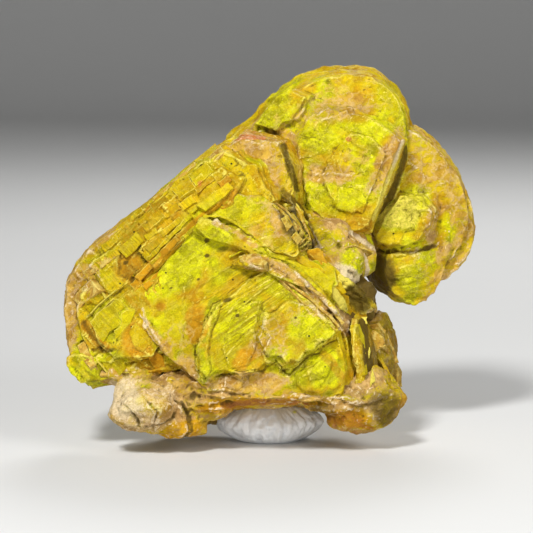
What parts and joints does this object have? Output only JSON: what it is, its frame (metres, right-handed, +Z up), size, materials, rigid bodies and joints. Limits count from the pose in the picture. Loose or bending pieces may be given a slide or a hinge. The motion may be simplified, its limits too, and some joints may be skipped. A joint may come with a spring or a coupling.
{
  "type": "uranocircite specimen",
  "caption": "Yellow-green uranocircite cluster of stacked bladed plates on a lumpy crust, held on a white putty pad to stand for display.",
  "frame": {"origin": "middle of the putty pad's flat foot", "axes": "+Z up out of the foot, +X to the specimen's right as seen from the front, front towards -Y"},
  "size_m": [0.0252, 0.0138, 0.0225],
  "materials": {
    "uranocircite": "pearly leaves with dull earthy crust",
    "putty": "matt"
  },
  "bodies": {
    "root": {"crystal_cluster": "uranocircite", "mounting_putty": "putty"}
  },
  "joints": []
}
